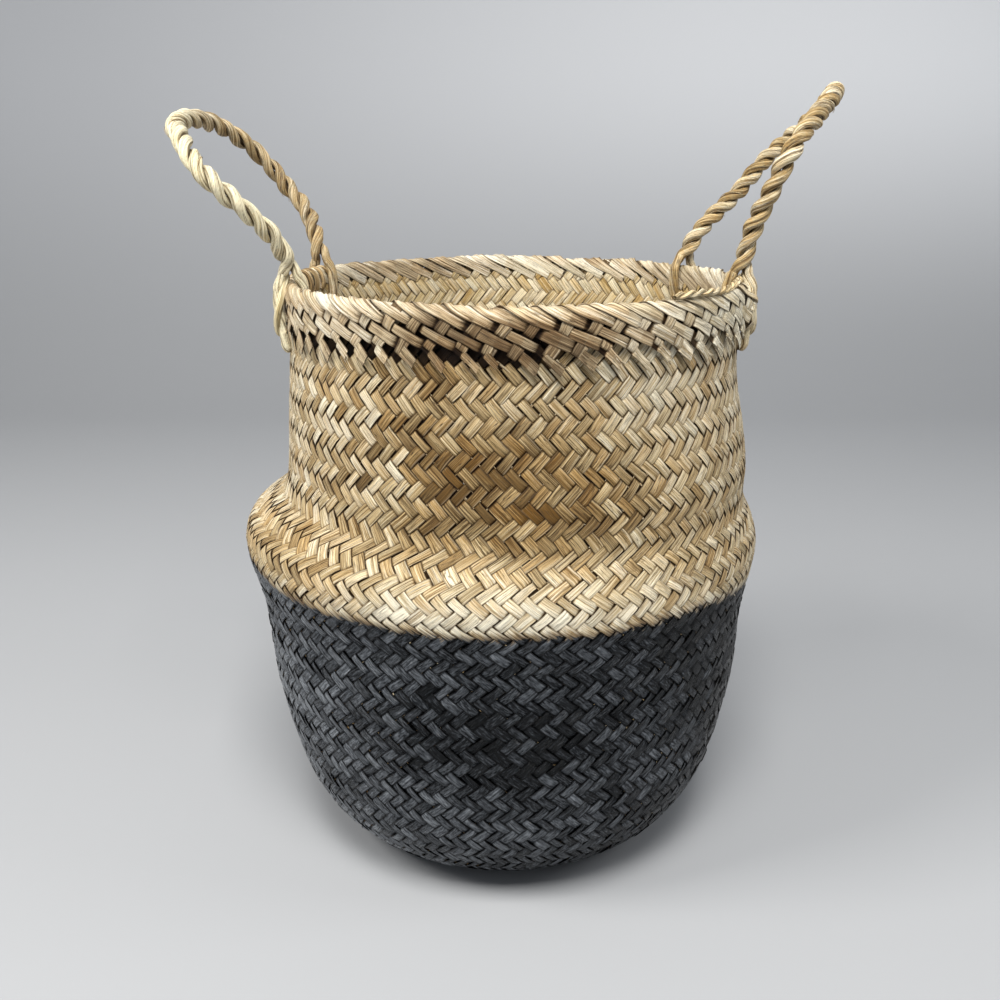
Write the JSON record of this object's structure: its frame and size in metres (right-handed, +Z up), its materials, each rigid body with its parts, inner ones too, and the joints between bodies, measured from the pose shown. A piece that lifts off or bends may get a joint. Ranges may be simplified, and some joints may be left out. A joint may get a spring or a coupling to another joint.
{
  "type": "belly basket",
  "caption": "Woven seagrass belly basket with a black painted lower half, a folded rim band and twisted two-ply rope loop handles.",
  "frame": {"origin": "centre of the flat underside, at the height that it stands on", "axes": "+Z up through the mouth, +Y to the back, +X towards the right-hand handle"},
  "size_m": [0.3277, 0.2646, 0.3833],
  "materials": {
    "black_painted_seagrass": "satin black paint over woven seagrass",
    "pale_seagrass": "dry matt fibre",
    "seagrass": "dry matt fibre",
    "rim_seagrass": "dry matt fibre, coarse plait",
    "rope_seagrass": "dry matt fibre, twisted"
  },
  "bodies": {
    "belly": {"belly_shell": "black_painted_seagrass", "shoulder_fold": "pale_seagrass"},
    "neck": {"neck_wall": "seagrass", "rim_band": "rim_seagrass", "strap_left_front": "rope_seagrass", "strap_left_back": "rope_seagrass", "strap_right_front": "rope_seagrass", "strap_right_back": "rope_seagrass"},
    "handle_left": {"handle_left_ply_a": "rope_seagrass", "handle_left_ply_b": "rope_seagrass"},
    "handle_right": {"handle_right_ply_a": "rope_seagrass", "handle_right_ply_b": "rope_seagrass"}
  },
  "joints": [
    {"name": "neck_slide", "type": "slide", "parent": "belly", "child": "neck", "axis": [0, 0, 1], "range_m": [-0.03, 0.01], "deforming": ["shoulder_fold"]},
    {"name": "handle_left_hinge", "type": "hinge", "parent": "neck", "child": "handle_left", "pos_m": [-0.09872, 0.00451, 0.3022], "axis": [-0.0436, -0.999, 0], "range_deg": [-100, 75]},
    {"name": "handle_right_hinge", "type": "hinge", "parent": "neck", "child": "handle_right", "pos_m": [0.10428, 0.01491, 0.3022], "axis": [-0.1478, 0.989, 0], "range_deg": [-100, 75]}
  ]
}
